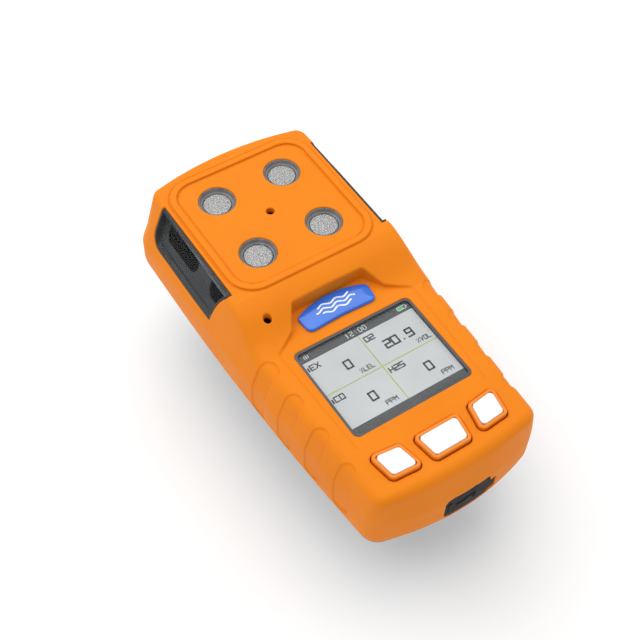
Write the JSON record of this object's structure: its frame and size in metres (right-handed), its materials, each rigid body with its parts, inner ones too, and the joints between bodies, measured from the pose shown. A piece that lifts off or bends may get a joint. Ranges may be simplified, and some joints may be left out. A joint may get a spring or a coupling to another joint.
{
  "type": "portable gas detector",
  "caption": "Hand-held gas detector: slanted-head case with round gas ports, side alarm windows, display, keys, charging socket door and a sprung belt clip.",
  "frame": {"origin": "centre of the footprint, on the surface that the belt clip rests on", "axes": "+X across the body, +Y towards the sensor end, +Z out of the front face"},
  "size_m": [0.0668, 0.1319, 0.0466],
  "materials": {
    "orange_shell": "fine matt texture",
    "charcoal_shell": "fine spark-eroded texture",
    "black_rubber": "matt",
    "grey_plastic": "satin",
    "brass": "turned",
    "sintered_filter": "sintered grain",
    "sensor_plastic": "moulded",
    "circuit_board": "solder mask",
    "connector_plastic": "moulded",
    "display_bezel": "satin",
    "clear_window": "clear",
    "display_panel": "liquid-crystal panel",
    "blue_badge": "domed gloss",
    "orange_key": "satin",
    "white_key": "satin",
    "silicone": "matt",
    "switch_metal": "stamped",
    "alarm_lens": "clear, lightly smoked",
    "reflector_plastic": "textured",
    "led_epoxy": "clear red epoxy",
    "black_plastic": "moulded",
    "motor_can": "drawn can",
    "tungsten_weight": "sintered",
    "battery_wrap": "shrink sleeve",
    "plated_steel": "nickel plated",
    "door_rubber": "matt moulded",
    "screw_steel": "blackened",
    "clip_steel": "bead blasted stainless",
    "spring_steel": "drawn wire"
  },
  "bodies": {
    "housing": {"front_shell": "orange_shell", "rear_shell": "charcoal_shell", "shell_gasket": "black_rubber", "gas_manifold": "grey_plastic", "cal_insert": "brass", "port_filter_1": "sintered_filter", "port_filter_2": "sintered_filter", "port_filter_3": "sintered_filter", "port_filter_4": "sintered_filter", "sensor_gasket_1": "black_rubber", "sensor_gasket_2": "black_rubber", "sensor_gasket_3": "black_rubber", "sensor_gasket_4": "black_rubber", "gas_sensor_1": "sensor_plastic", "gas_sensor_2": "sensor_plastic", "gas_sensor_3": "sensor_plastic", "gas_sensor_4": "sensor_plastic", "sensor_board": "circuit_board", "main_board": "circuit_board", "board_connector": "connector_plastic", "display_gasket": "display_bezel", "display_window": "clear_window", "lcd_module": "display_panel", "badge": "blue_badge", "key_membrane": "silicone", "key_switches": "switch_metal", "alarm_lens_left": "alarm_lens", "alarm_lens_right": "alarm_lens", "reflector_left": "reflector_plastic", "reflector_right": "reflector_plastic", "alarm_leds": "led_epoxy", "buzzer": "black_plastic", "buzzer_gasket": "black_rubber", "vibration_motor": "motor_can", "battery_pack": "battery_wrap", "battery_foam": "black_rubber", "usb_socket": "plated_steel", "usb_board": "circuit_board", "case_screws": "screw_steel", "screw_inserts": "brass", "board_screws": "screw_steel", "clip_base": "clip_steel", "clip_pin": "clip_steel", "clip_spring": "spring_steel", "clip_screws": "screw_steel", "clip_inserts": "brass"},
    "key_left": {"key_cap_left": "orange_key", "key_face_left": "white_key"},
    "key_middle": {"key_cap_middle": "orange_key", "key_face_middle": "white_key"},
    "key_right": {"key_cap_right": "orange_key", "key_face_right": "white_key"},
    "socket_door": {"usb_door": "door_rubber"},
    "clip": {"clip_lever": "clip_steel"},
    "rotor": {"motor_weight": "tungsten_weight"}
  },
  "joints": [
    {"name": "key_left_press", "type": "slide", "parent": "housing", "child": "key_left", "axis": [0, 0, -1], "range_m": [0, 0.0006], "stiffness_N_per_m": 900, "springref_m": -0.0006},
    {"name": "key_middle_press", "type": "slide", "parent": "housing", "child": "key_middle", "axis": [0, 0, -1], "range_m": [0, 0.0006], "stiffness_N_per_m": 900, "springref_m": -0.0006},
    {"name": "key_right_press", "type": "slide", "parent": "housing", "child": "key_right", "axis": [0, 0, -1], "range_m": [0, 0.0006], "stiffness_N_per_m": 900, "springref_m": -0.0006},
    {"name": "door_hinge", "type": "hinge", "parent": "housing", "child": "socket_door", "pos_m": [0.0109, -0.065, 0], "axis": [0, 0, 1], "range_deg": [0, 110]},
    {"name": "clip_hinge", "type": "hinge", "parent": "housing", "child": "clip", "pos_m": [0, 0.018, 0.004], "axis": [1, 0, 0], "range_deg": [0, 15], "stiffness_Nm_per_rad": 0.6, "springref_deg": -20.05, "deforming": ["clip_spring"]},
    {"name": "motor_spin", "type": "hinge", "parent": "housing", "child": "rotor", "pos_m": [0, 0.044, 0.0154], "axis": [1, 0, 0], "continuous": true}
  ]
}
